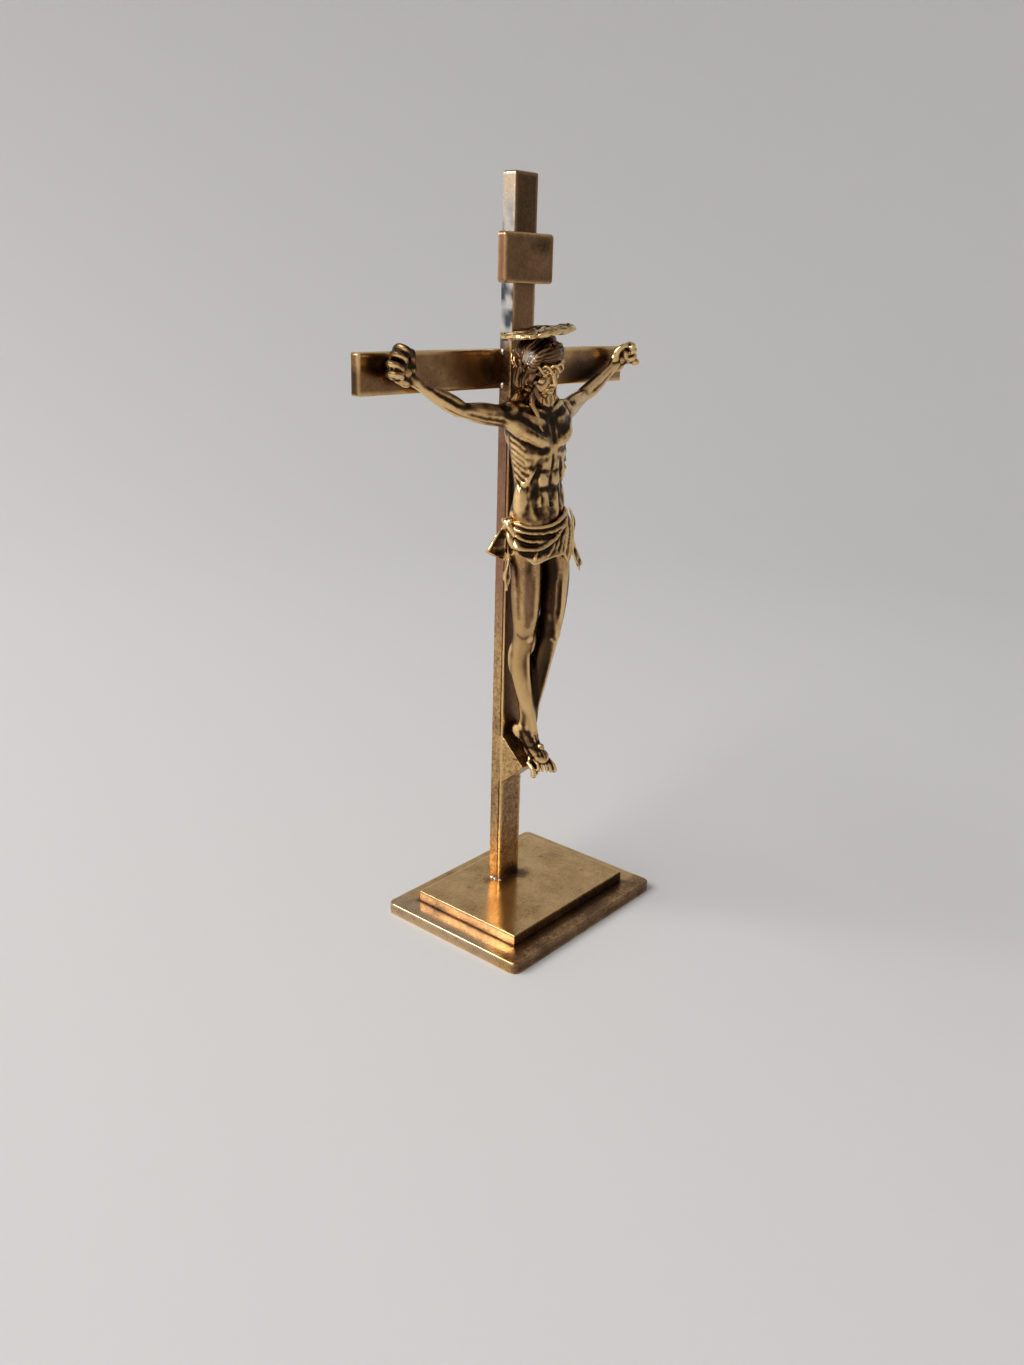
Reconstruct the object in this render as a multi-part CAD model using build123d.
from build123d import *
import os

# A small table crucifix in brass: a stepped base, an upright post with a crossbeam let
# into its back, a title plaque, a footrest, and a cast figure nailed at hands and feet.
# Millimetres. Origin at the centre of the base's underside, +Z up, -Y is the front.

# Base: two plates, held together from below by countersunk screws
plate_width = 70.0
plate_depth = 54.0
plate_height = 3.6
plate_corner = 2.4
plate_edge = 0.6
step_width = 55.0
step_depth = 40.0
step_height = 3.5
step_edge = 0.25
screw_spacing = 34.0
screw_radius = 1.5
screw_head_radius = 2.8
screw_head_height = 1.6
screw_sink = 0.3
screw_bite = 2.2

# Cross: post and crossbeam are flat bars, the beam lies in a notch in the post's back
cross_height = 220.0
post_width = 9.8
post_depth = 4.2
post_setback = 8.0
post_corner = 0.9
post_edge = 0.35
groove_inset = 0.9
groove_width = 0.35
groove_depth = 0.3
beam_length = 113.0
beam_height = 10.7
beam_depth = 3.1
beam_share = 0.7664
beam_shift = -3.0
beam_round = 1.0
notch_depth = 1.0
solder_radius = 0.75
solder_spacing = 1.6
solder_proud = 0.2
groove_start = 2.0

# Title plaque on the head of the post, on two blind dowels
plaque_width = 20.8
plaque_height = 13.1
plaque_thickness = 2.6
plaque_share = 0.9
plaque_shift = -1.0
plaque_corner = 1.2
plaque_edge = 0.5
plaque_pin_spacing = 6.0
dowel_radius = 0.6
dowel_depth = 1.3

# Footrest: a wedge as wide as the post, its top at a share of the beam's height
rest_share = 0.3428
rest_reach = 8.6
rest_tip_drop = 8.3
rest_height = 15.9

# Clearances
slip = 0.05
back_gap = 0.3
sole_gap = 0.05

# Figure: half widths and thicknesses of its parts
body_shift = -1.0
shoulder_half_width = 11.5
chest_half_width = 11.8
chest_half_depth = 6.8
rib_half_width = 9.9
rib_half_depth = 6.2
waist_half_width = 8.6
waist_half_depth = 5.3
belly_half_width = 10.2
belly_half_depth = 6.2
hip_half_width = 11.0
hip_half_depth = 7.0
cloth_thickness = 0.8
cloth_flap_thickness = 1.2
thigh_radius = 4.6
knee_radius = 3.4
calf_radius = 3.8
ankle_radius = 2.3
foot_half_width = 3.2
foot_half_height = 2.0
toe_half_width = 2.6
toe_half_height = 1.2
neck_radius = 3.5
deltoid_radius = 4.4
upper_arm_radius = 3.0
elbow_radius = 2.4
forearm_radius = 2.7
wrist_radius = 1.8
palm_half_width = 3.2
palm_half_depth = 2.0
finger_radius = 0.95
finger_length = 4.2
finger_spacing = 1.6
finger_root = 1.0
finger_reach_share = 0.62
finger_curl_share = 0.78
shoulder_overlap = 2.0
peg_radius = 1.5
peg_length = 4.0

# Head, hair and beard, crown and halo
head_half_width = 5.3
head_half_depth = 6.4
head_half_height = 8.2
head_lean = 12.0
head_bow = 14.0
hair_thickness = 0.9
hair_rise = 1.8
lock_radius = 1.9
beard_radius = 2.7
beard_length = 3.6
crown_strand_radius = 0.9
halo_radius = 10.2
halo_thickness = 1.0
halo_rim_width = 1.1
halo_rim_height = 0.5
halo_tilt = 8.0
halo_pin_radius = 0.7
halo_pin_depth = 3.0

# Nails
nail_radius = 0.6
nail_head_radius = 1.2
nail_head_height = 0.8
hand_nail_bite = 2.3
right_hand_inset = 13.0
left_hand_inset = 6.3
foot_nail_bite = 4.0
foot_nail_up_slope = 2.4
feet_height = 6.3

# Faces and heights that several pieces share
plate_top = plate_height
step_top = plate_top + step_height
post_front = post_setback - post_depth / 2
post_back = post_setback + post_depth / 2
beam_front = post_back - notch_depth
beam_mid = cross_height * beam_share
plaque_mid = cross_height * plaque_share
rest_top = beam_mid * rest_share
rest_bottom = rest_top - rest_height
rest_tip = rest_top - rest_tip_drop
slope_down = Vector(0, -rest_reach, -rest_tip_drop).normalized()
slope_out = Vector(0, -rest_tip_drop, rest_reach).normalized()

# The figure's stations are in hundredths of the drop from the beam to the footrest
figure_unit = (beam_mid - rest_top) / 100


def figure_point(side, forward, up):
    """A place by the figure: sideways from the body's axis, ahead of the post, from the beam."""
    origin = Vector(body_shift, post_front, beam_mid)
    return origin + Vector(side, -forward, up) * figure_unit


def slope_point(side, along, off):
    """A place by the feet: down the footrest's slope from its top, and off the slope."""
    top = Vector(body_shift, post_front, rest_top)
    return top + (Vector(side, 0, 0) + slope_down * along + slope_out * off) * figure_unit


def limb(stations, x_dir):
    """A rounded limb through stations of (centre, half width, half thickness)."""
    sections = []
    last = len(stations) - 1
    for index, (centre, half_width, half_thickness) in enumerate(stations):
        before = stations[max(index - 1, 0)][0]
        after = stations[min(index + 1, last)][0]
        plane = Plane(origin=centre, x_dir=x_dir, z_dir=after - before)
        sections.append(plane * Ellipse(half_width, half_thickness))
    return loft(sections)


def trunk(stations):
    """A level stack of ellipses: (up, forward, half width, half depth)."""
    sections = []
    for up, forward, half_width, half_depth in stations:
        plane = Plane(origin=figure_point(0, forward, up))
        sections.append(plane * Ellipse(half_width, half_depth))
    return loft(sections)


def ellipsoid(half_width, half_depth, half_height):
    """A rounded lump with three half sizes."""
    return scale(Sphere(1), by=(half_width, half_depth, half_height))


def cloth_end(points, thickness):
    """A thin flat end of cloth through three points."""
    face = make_face(Polyline(*points, close=True))
    return extrude(face, amount=thickness / 2, both=True)


def dowel(start, direction, length, radius):
    """A round pin from a point along a direction."""
    plane = Plane(origin=start, z_dir=direction)
    return extrude(plane * Circle(radius), amount=length)


def nail(head_seat, direction, length, spare):
    """A nail with a domed head whose underside sits at head_seat."""
    plane = Plane(origin=head_seat, z_dir=direction)
    shank = extrude(plane * Circle(nail_radius + spare), amount=length)
    head_face = plane * Circle(nail_head_radius + spare)
    head = extrude(head_face, amount=-nail_head_height - spare, taper=20)
    return shank + head


# Base plates, with countersunk holes and screws
screw_places = [Pos(side * screw_spacing / 2, 0, 0) for side in (-1, 1)]
screw_top = plate_top + screw_bite


def base_screw(spare):
    """One countersunk screw, sunk a little below the underside."""
    head = Pos(0, 0, screw_sink + screw_head_height / 2) * Cone(
        screw_head_radius + spare, screw_radius + spare, screw_head_height
    )
    shank_start = screw_sink + screw_head_height
    shank_length = screw_top + spare - shank_start
    shank = Pos(0, 0, shank_start + shank_length / 2) * Cylinder(screw_radius + spare, shank_length)
    return head + shank


def screw_hole():
    """The screw's room, with a straight mouth up from the underside."""
    mouth = Pos(0, 0, screw_sink / 2) * Cylinder(screw_head_radius + slip, screw_sink)
    return base_screw(slip) + mouth


base_plate = Pos(0, 0, plate_height / 2) * Box(plate_width, plate_depth, plate_height)
base_plate = fillet(base_plate.edges().filter_by(Axis.Z), plate_corner)
base_plate = fillet(base_plate.edges().group_by(Axis.Z)[-1], plate_edge)
base_step = Pos(0, 0, plate_top + step_height / 2) * Box(step_width, step_depth, step_height)
base_step = chamfer(base_step.edges().group_by(Axis.Z)[-1], step_edge)
base_screws = []
for place in screw_places:
    base_plate -= place * screw_hole()
    base_step -= place * screw_hole()
    base_screws.append(place * base_screw(0))

# Post: stands through the step on the plate, with a notch in its back for the beam
post_height = cross_height - plate_top
post_middle = Pos(0, post_setback, plate_top + post_height / 2)
post = post_middle * Box(post_width, post_depth, post_height)
top_corners = post.edges().group_by(Axis.Z)[-1].filter_by(Axis.Y)
post = fillet(top_corners, post_corner)
front_edges = post.edges().filter_by(Axis.Z).group_by(Axis.Y)[0]
post = chamfer(front_edges, post_edge)
mortise = post_middle * Box(post_width + 2 * slip, post_depth + 2 * slip, post_height)
base_step -= mortise
beam_middle = Pos(beam_shift, beam_front + beam_depth / 2, beam_mid)
crossbeam = beam_middle * Box(beam_length, beam_depth, beam_height)
crossbeam = fillet(crossbeam.edges().group_by(Axis.X)[0], beam_round)
crossbeam = fillet(crossbeam.edges().group_by(Axis.X)[-1], beam_round)
post -= beam_middle * Box(beam_length, beam_depth, beam_height)

# A fine groove runs up both sides of the post, from the base to the footrest and on to the beam
beam_bottom = beam_mid - beam_height / 2
groove_spans = [
    (step_top + groove_start, rest_bottom),
    (rest_top, beam_bottom - groove_start),
]
for side in (-1, 1):
    for low, high in groove_spans:
        groove = Box(2 * groove_depth, groove_width, high - low)
        post -= Pos(side * post_width / 2, post_front + groove_inset, (low + high) / 2) * groove

# Solder: beads at the foot of the post and in the four corners of the crossing
below_step = Pos(0, 0, step_top - solder_radius) * Box(plate_width, plate_depth, 2 * solder_radius)
solder_ball = Rot(25, 35, 15) * Sphere(solder_radius)
post_solder = []
for side in (-1, 1):
    bead = Pos(-post_width / 2, post_setback + side * solder_spacing / 2, step_top) * solder_ball
    post_solder.append(bead - below_step - post)
crossing_solder = []
for side in (-1, 1):
    for edge in (-1, 1):
        corner = Pos(
            side * (post_width / 2 + solder_proud),
            beam_front - solder_proud,
            beam_mid + edge * (beam_height / 2 - solder_radius - solder_proud),
        )
        crossing_solder.append(corner * solder_ball - post - crossbeam)

# Title plaque, bare, with its dowels
plaque_middle = Pos(plaque_shift, post_front - plaque_thickness / 2, plaque_mid)
title_plaque = plaque_middle * Box(plaque_width, plaque_thickness, plaque_height)
title_plaque = fillet(title_plaque.edges().filter_by(Axis.Y), plaque_corner)
title_plaque = fillet(title_plaque.edges().group_by(Axis.Y)[0], plaque_edge)
plaque_pins = []
for side in (-1, 1):
    start = Vector(0, post_front - dowel_depth, plaque_mid + side * plaque_pin_spacing / 2)
    plaque_pins.append(dowel(start, (0, 1, 0), 2 * dowel_depth, dowel_radius))
    hole = dowel(start - Vector(0, slip, 0), (0, 1, 0), 2 * dowel_depth + 2 * slip, dowel_radius + slip)
    title_plaque -= hole
    post -= hole

# Footrest wedge and its dowel
wedge_outline = Polyline(
    (0, post_front, rest_top),
    (0, post_front - rest_reach, rest_tip),
    (0, post_front, rest_bottom),
    close=True,
)
wedge_face = make_face(wedge_outline)
footrest = extrude(wedge_face, amount=post_width / 2, both=True)
rest_room = extrude(offset(wedge_face, amount=sole_gap), amount=post_width, both=True)
rest_pin_start = Vector(0, post_front - dowel_depth, rest_tip)
footrest_pin = dowel(rest_pin_start, (0, 1, 0), 2 * dowel_depth, dowel_radius)
rest_pin_hole = dowel(
    rest_pin_start - Vector(0, slip, 0), (0, 1, 0), 2 * dowel_depth + 2 * slip, dowel_radius + slip
)
footrest -= rest_pin_hole
post -= rest_pin_hole

# Torso, cut square at the shoulders where the arms are set on
torso = trunk([
    (-50.18, 8.03, hip_half_width * 0.77, hip_half_depth * 0.86),
    (-43.32, 7.67, hip_half_width, hip_half_depth),
    (-36.10, 7.49, belly_half_width, belly_half_depth),
    (-28.88, 7.04, waist_half_width, waist_half_depth),
    (-22.20, 7.13, rib_half_width, rib_half_depth),
    (-15.79, 7.04, chest_half_width, chest_half_depth),
    (-10.83, 6.32, chest_half_width, chest_half_depth * 0.88),
    (-7.22, 5.87, shoulder_half_width * 0.9, chest_half_depth * 0.68),
    (-4.06, 5.96, neck_radius * 1.14, neck_radius * 1.03),
])
shoulder_slab = Pos(body_shift, 0, beam_mid) * Box(2 * shoulder_half_width, plate_depth, cross_height)
torso &= shoulder_slab

# Loincloth, wrapped round the hips, with a flying end, a small loop and a hanging end
cloth_half_width = hip_half_width + cloth_thickness
cloth_half_depth = hip_half_depth + cloth_thickness
loincloth = trunk([
    (-50.54, 7.94, cloth_half_width * 0.9, cloth_half_depth * 0.95),
    (-46.48, 7.76, cloth_half_width, cloth_half_depth),
    (-42.87, 7.58, cloth_half_width, cloth_half_depth),
    (-39.35, 7.40, cloth_half_width * 0.99, cloth_half_depth * 0.975),
])
flying_end = cloth_end([
    figure_point(-6.77, 6.32, -39.71),
    figure_point(-15.16, 2.89, -44.95),
    figure_point(-6.77, 5.42, -49.64),
], cloth_flap_thickness)
loop_end = cloth_end([
    figure_point(-5.42, 5.42, -47.83),
    figure_point(-9.57, 4.78, -51.90),
    figure_point(-8.66, 4.51, -56.32),
], cloth_flap_thickness)
hanging_end = cloth_end([
    figure_point(8.57, 9.03, -37.91),
    figure_point(15.88, 10.92, -52.35),
    figure_point(7.22, 9.03, -48.74),
], cloth_flap_thickness)

# Legs, bent at the knees, and the feet crossed on the footrest, right over left
right_leg = limb([
    (figure_point(-3.61, 6.86, -46.03), thigh_radius, thigh_radius),
    (figure_point(-3.25, 6.77, -51.90), thigh_radius, thigh_radius),
    (figure_point(-2.89, 6.59, -57.76), thigh_radius, thigh_radius),
    (figure_point(-2.62, 6.32, -63.18), thigh_radius * 0.91, thigh_radius * 0.91),
    (figure_point(-2.35, 5.78, -68.59), knee_radius, knee_radius),
    (figure_point(-1.99, 4.51, -74.01), knee_radius, knee_radius),
    (figure_point(-1.62, 4.06, -79.42), calf_radius, calf_radius),
    (figure_point(-0.99, 5.05, -84.84), calf_radius * 0.84, calf_radius * 0.84),
    (slope_point(0, 0.27, 9.93), ankle_radius, ankle_radius),
    (slope_point(-0.72, 2.71, 5.42), ankle_radius, ankle_radius),
], (1, 0, 0))
left_leg = limb([
    (figure_point(4.87, 8.66, -46.03), thigh_radius, thigh_radius),
    (figure_point(5.23, 9.30, -51.90), thigh_radius, thigh_radius),
    (figure_point(5.42, 9.57, -57.76), thigh_radius, thigh_radius),
    (figure_point(5.23, 9.48, -62.73), thigh_radius * 0.89, thigh_radius * 0.89),
    (figure_point(4.87, 9.21, -67.69), knee_radius, knee_radius),
    (figure_point(4.24, 8.21, -73.10), knee_radius, knee_radius),
    (figure_point(3.61, 7.22, -78.52), calf_radius, calf_radius),
    (figure_point(3.16, 7.04, -84.39), calf_radius * 0.84, calf_radius * 0.84),
    (slope_point(2.53, -0.45, 9.03), ankle_radius, ankle_radius),
    (slope_point(2.53, 2.71, 3.61), ankle_radius, ankle_radius),
], (1, 0, 0))
right_foot = limb([
    (slope_point(-1.26, 0.54, 3.79), ankle_radius, ankle_radius),
    (slope_point(0, 4.51, 4.69), foot_half_width * 0.94, foot_half_height * 1.45),
    (slope_point(1.81, 9.93, 4.15), foot_half_width, foot_half_height),
    (slope_point(2.89, 15.34, 2.71), toe_half_width, toe_half_height),
], (1, 0, 0))
left_foot = limb([
    (slope_point(3.25, 0.72, 1.81), ankle_radius, ankle_radius),
    (slope_point(2.53, 4.96, 1.71), foot_half_width * 0.94, foot_half_height * 1.2),
    (slope_point(1.26, 9.93, 1.08), foot_half_width, foot_half_height * 0.85),
    (slope_point(0.54, 14.80, -1.26), toe_half_width, toe_half_height),
], (1, 0, 0))

# Head, leaning to the figure's right and bowed, with hair, a lock on the shoulder and a beard
head_centre = figure_point(-3.25, 8.75, 0.81)
head_pose = Pos(head_centre) * Rot(head_bow, 0, 0) * Rot(0, -head_lean, 0)
neck = limb([
    (figure_point(0, 5.96, -12.64), neck_radius * 1.03, neck_radius * 0.97),
    (figure_point(-0.54, 6.32, -6.77), neck_radius * 1.03, neck_radius * 0.97),
    (figure_point(-2.53, 7.76, 0.45), neck_radius * 0.97, neck_radius * 0.91),
], (1, 0, 0))
face = head_pose * ellipsoid(head_half_width, head_half_depth, head_half_height)
hair_back = hair_thickness * 1.33
hair_half_height = head_half_height - hair_rise + hair_thickness
hair = head_pose * Pos(0, hair_back, hair_rise) * ellipsoid(
    head_half_width + hair_thickness, head_half_depth + hair_thickness / 2, hair_half_height
)
beard = head_pose * Pos(0, -head_half_depth * 0.6, -head_half_height * 0.8) * ellipsoid(
    beard_radius, beard_radius * 0.85, beard_length
)
shoulder_lock = limb([
    (figure_point(-7.22, 7.40, 0), lock_radius, lock_radius * 0.84),
    (figure_point(-6.86, 7.76, -5.42), lock_radius * 1.1, lock_radius),
    (figure_point(-6.32, 8.66, -11.28), lock_radius, lock_radius * 0.79),
], (1, 0, 0))

# Crown: a twisted ring round the brow, seated in a groove of the hair
crown_pose = head_pose * Pos(0, hair_back / 2, hair_rise)
crown_half_width = head_half_width + hair_thickness
crown_half_depth = head_half_depth + hair_back / 2 + hair_thickness / 2


def crown_ring(spare):
    """The crown's ring, or its seat with some room to spare."""
    strand = crown_strand_radius + spare
    ring = Torus(crown_half_width, strand)
    return crown_pose * scale(ring, by=(1, crown_half_depth / crown_half_width, 1))


crown_of_thorns = crown_ring(0)

# Halo: a rimmed disc that sits level on the hair, tipped up towards the front and left
halo_centre = figure_point(-4.87, 0, 8.66) - Vector(0, halo_radius + 2 * back_gap, 0)
halo_pose = Pos(halo_centre) * Rot(0, 0, -50) * Rot(0, -halo_tilt, 0)
halo = halo_pose * Pos(0, 0, halo_thickness / 2) * Cylinder(halo_radius, halo_thickness)
rim_ring = Cylinder(halo_radius, halo_rim_height) - Cylinder(halo_radius - halo_rim_width, halo_rim_height)
halo += halo_pose * Pos(0, 0, halo_thickness + halo_rim_height / 2) * rim_ring
above_seat = halo_pose * Pos(0, 0, halo_radius) * Cylinder(2 * halo_radius, 2 * halo_radius)
halo_pin_length = halo_pin_depth + halo_thickness
halo_pin_place = halo_pose * Pos(0, 0, halo_thickness - halo_pin_length / 2)
halo_pin = halo_pin_place * Cylinder(halo_pin_radius, halo_pin_length)
halo_pin_hole = halo_pin_place * Cylinder(halo_pin_radius + slip, halo_pin_length + 2 * slip)
halo -= halo_pin_hole

# One casting for the body: the flat back clears the post, soles sit on the footrest
head = face + hair + beard + neck + shoulder_lock
legs = right_leg + left_leg + right_foot + left_foot
corpus_body = torso + loincloth + legs + flying_end + loop_end + hanging_end
corpus_body += head
behind = Pos(0, post_front - back_gap + plate_depth / 2, cross_height / 2)
corpus_body -= behind * Box(beam_length, plate_depth, cross_height)
corpus_body -= rest_room
corpus_body -= crown_ring(slip)
corpus_body -= above_seat
corpus_body -= halo_pin_hole


def arm(side, palm, bends):
    """One arm casting with its peg: side is -1 for the figure's right and 1 for its left.
    The bends are elbow, wrist and knuckles: a share of the way from shoulder to palm, then
    ahead of the post and up from the beam."""
    outward = Vector(side, 0, 0)
    shoulder = figure_point(0, 5.6, -11.01) + outward * shoulder_half_width
    elbow, wrist, knuckle = [
        Vector(shoulder.X + (palm.X - shoulder.X) * share, place.Y, place.Z)
        for share, place in bends
    ]
    deltoid = shoulder + outward * shoulder_overlap
    upper = (deltoid + elbow) * 0.5
    fore = elbow + (wrist - elbow) * 0.35
    solid = limb([
        (shoulder - outward * shoulder_overlap, deltoid_radius, deltoid_radius * 0.91),
        (deltoid, deltoid_radius * 0.93, deltoid_radius * 0.89),
        (upper, upper_arm_radius, upper_arm_radius * 0.97),
        (elbow, elbow_radius, elbow_radius),
        (fore, forearm_radius, forearm_radius * 0.89),
        (wrist, wrist_radius, wrist_radius * 0.89),
        (palm, palm_half_width, palm_half_depth),
        (knuckle, palm_half_width, palm_half_depth * 0.85),
    ], (0, 0, 1))
    reach = (knuckle - palm).normalized()
    across = Vector(-side * reach.Z, 0, side * reach.X)
    curl = reach * finger_reach_share - Vector(0, finger_curl_share, 0)
    for place in (-1.5, -0.5, 0.5, 1.5):
        start = knuckle + across * (place * finger_spacing) - reach * finger_root
        solid += dowel(start, curl, finger_length, finger_radius)
    outside = Pos(shoulder + outward * beam_length / 2)
    solid &= outside * Box(beam_length, plate_depth, cross_height)
    peg = dowel(shoulder, -outward, peg_length, peg_radius)
    peg_hole = dowel(
        shoulder + outward * peg_length, -outward, 2 * peg_length + slip, peg_radius + slip
    )
    solid -= Pos(0, beam_front - slip + plate_depth / 2, beam_mid) * Box(
        2 * beam_length, plate_depth, cross_height
    )
    return solid + peg, peg_hole


def palm_point(side, inset, up):
    """A palm's centre: in from the beam's end, its back on the beam, up from the beam's middle."""
    end = beam_shift + side * beam_length / 2
    lift = figure_point(0, -0.54, up)
    return Vector(end - side * inset, lift.Y, lift.Z)


right_palm = palm_point(-1, right_hand_inset, 0.27)
left_palm = palm_point(1, left_hand_inset, 1.26)
right_arm, right_peg_hole = arm(-1, right_palm, [
    (0.485, figure_point(0, 2.35, -8.66)),
    (0.868, figure_point(0, 0, -2.35)),
    (1.112, figure_point(0, -0.18, 1.99)),
])
left_arm, left_peg_hole = arm(1, left_palm, [
    (0.463, figure_point(0, 1.44, -7.40)),
    (0.886, figure_point(0, 0, -0.81)),
    (1.082, figure_point(0, -0.18, 3.07)),
])
corpus_body -= right_peg_hole
corpus_body -= left_peg_hole

# Nails through the palms into the beam, and one through both feet into the footrest
hand_nails = []
arms = []
for solid, palm in ((right_arm, right_palm), (left_arm, left_palm)):
    head_seat = Vector(palm.X, palm.Y - palm_half_depth, palm.Z)
    length = beam_front + hand_nail_bite - head_seat.Y
    room = nail(head_seat, (0, 1, 0), length + slip, slip)
    hand_nails.append(nail(head_seat, (0, 1, 0), length, 0))
    arms.append(solid - room)
    crossbeam -= room
right_arm, left_arm = arms
slope_length = (rest_reach ** 2 + rest_tip_drop ** 2) ** 0.5
foot_nail_seat = Vector(0, post_front, rest_top) + slope_out * feet_height
foot_nail_seat += slope_down * (slope_length - foot_nail_up_slope)
foot_nail_length = feet_height + foot_nail_bite
foot_nail = nail(foot_nail_seat, -slope_out, foot_nail_length, 0)
foot_nail_room = nail(foot_nail_seat, -slope_out, foot_nail_length + slip, slip)
corpus_body -= foot_nail_room
footrest -= foot_nail_room

# One file for each piece
pieces = {
    "base_plate": base_plate,
    "base_step": base_step,
    "base_screws": Compound(children=base_screws),
    "post": post,
    "post_solder": Compound(children=post_solder),
    "crossbeam": crossbeam,
    "crossing_solder": Compound(children=crossing_solder),
    "title_plaque": title_plaque,
    "plaque_pins": Compound(children=plaque_pins),
    "footrest": footrest,
    "footrest_pin": footrest_pin,
    "corpus_body": corpus_body,
    "right_arm": right_arm,
    "left_arm": left_arm,
    "crown_of_thorns": crown_of_thorns,
    "halo": halo,
    "halo_pin": halo_pin,
    "right_hand_nail": hand_nails[0],
    "left_hand_nail": hand_nails[1],
    "foot_nail": foot_nail,
}
os.makedirs("parts", exist_ok=True)
for name, piece in pieces.items():
    export_step(piece, f"parts/{name}.step")
